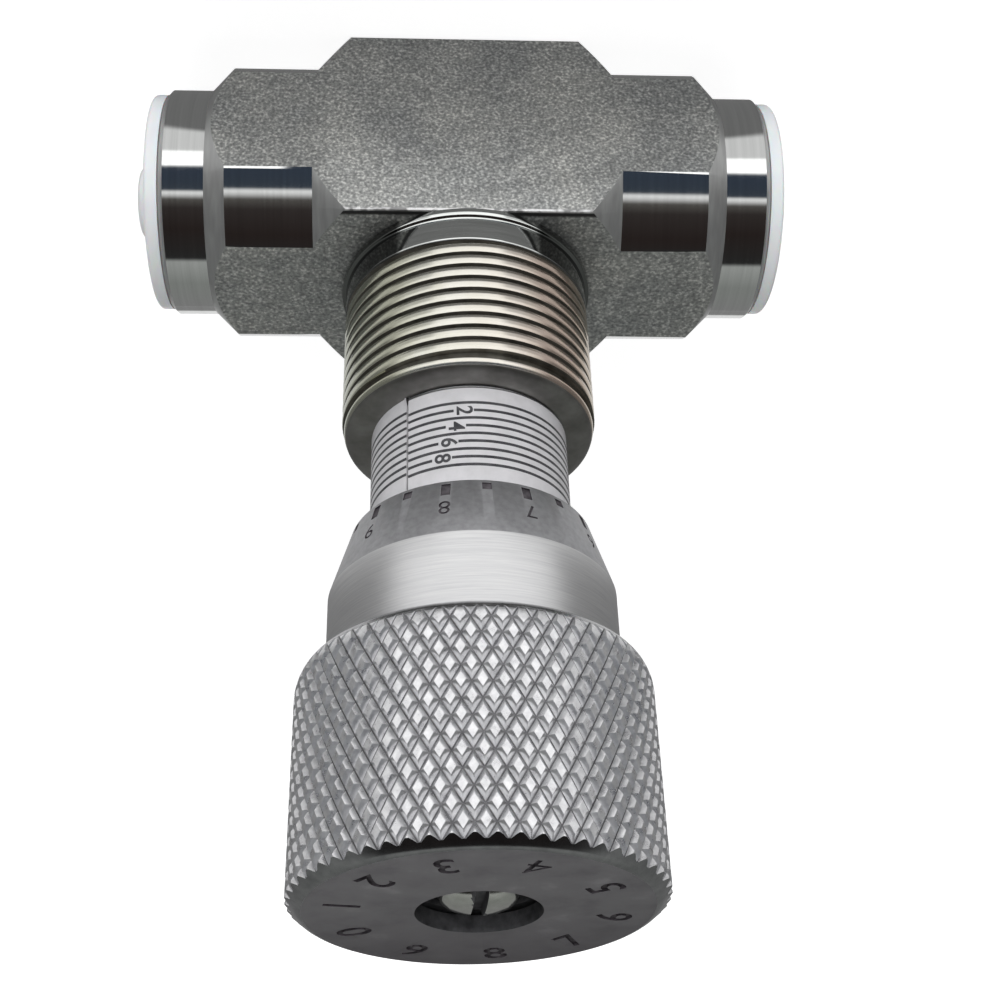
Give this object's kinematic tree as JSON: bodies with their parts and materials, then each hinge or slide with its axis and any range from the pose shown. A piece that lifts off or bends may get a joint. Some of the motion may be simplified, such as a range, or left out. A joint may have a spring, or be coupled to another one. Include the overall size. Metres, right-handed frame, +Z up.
{
  "type": "hydraulic throttle valve",
  "caption": "Inline needle throttle valve with a square steel body, two threaded ports, a threaded bonnet with a ringed scale and a knurled setting knob.",
  "frame": {"origin": "centre of the body's base", "axes": "+Z up the spindle towards the knob, X along the two ports, -Y is the side that carries the scale's numbers"},
  "size_m": [0.0696, 0.0318, 0.0911],
  "materials": {
    "zinc_plated_steel": "rough zinc plate, bright where turned",
    "passivated_steel": "turned, yellow passivated zinc",
    "bright_steel": "ground",
    "nickel_plated_steel": "bright plate",
    "black_steel": "black oxide",
    "satin_aluminium": "satin anodised",
    "brass": "turned",
    "seal_rubber": "matt",
    "seal_plastic": "smooth",
    "printed_film": "satin printed film",
    "plug_plastic": "translucent white"
  },
  "bodies": {
    "root": {"valve_body": "zinc_plated_steel", "bonnet": "passivated_steel", "bonnet_o_ring": "seal_rubber", "scale_label": "printed_film"},
    "spindle_seals": {"spindle_o_ring": "seal_rubber", "spindle_backup_ring": "seal_plastic"},
    "spindle_and_knob": {"spindle": "bright_steel", "knob": "satin_aluminium", "knob_washer": "bright_steel", "knob_screw": "nickel_plated_steel"},
    "lock_pad": {"lock_pad": "brass"},
    "lock_screw": {"lock_screw": "black_steel"},
    "plug_left": {"port_plug_left": "plug_plastic"},
    "plug_right": {"port_plug_right": "plug_plastic"}
  },
  "joints": [
    {"name": "spindle_rise", "type": "slide", "parent": "root", "child": "spindle_seals", "axis": [0, 0, 1], "range_m": [-0.01032, 0]},
    {"name": "knob_turn", "type": "hinge", "parent": "spindle_seals", "child": "spindle_and_knob", "pos_m": [0, 0, 0.07], "axis": [0, 0, 1], "range_deg": [-4320, 0]},
    {"name": "lock_pad_push", "type": "slide", "parent": "spindle_and_knob", "child": "lock_pad", "axis": [0, -1, 0], "range_m": [0, 0.00033]},
    {"name": "lock_turn", "type": "hinge", "parent": "lock_pad", "child": "lock_screw", "pos_m": [0, 0.0119, 0.06631], "axis": [0, -1, 0], "range_deg": [0, 237.6]},
    {"name": "plug_left_pull", "type": "slide", "parent": "root", "child": "plug_left", "axis": [-1, 0, 0], "range_m": [0, 0.035]},
    {"name": "plug_right_pull", "type": "slide", "parent": "root", "child": "plug_right", "axis": [1, 0, 0], "range_m": [0, 0.035]}
  ],
  "couplings": [
    {"joint": "knob_turn", "follows": "spindle_rise", "rad_per_m": 7306},
    {"joint": "lock_turn", "follows": "lock_pad_push", "rad_per_m": 12566}
  ]
}
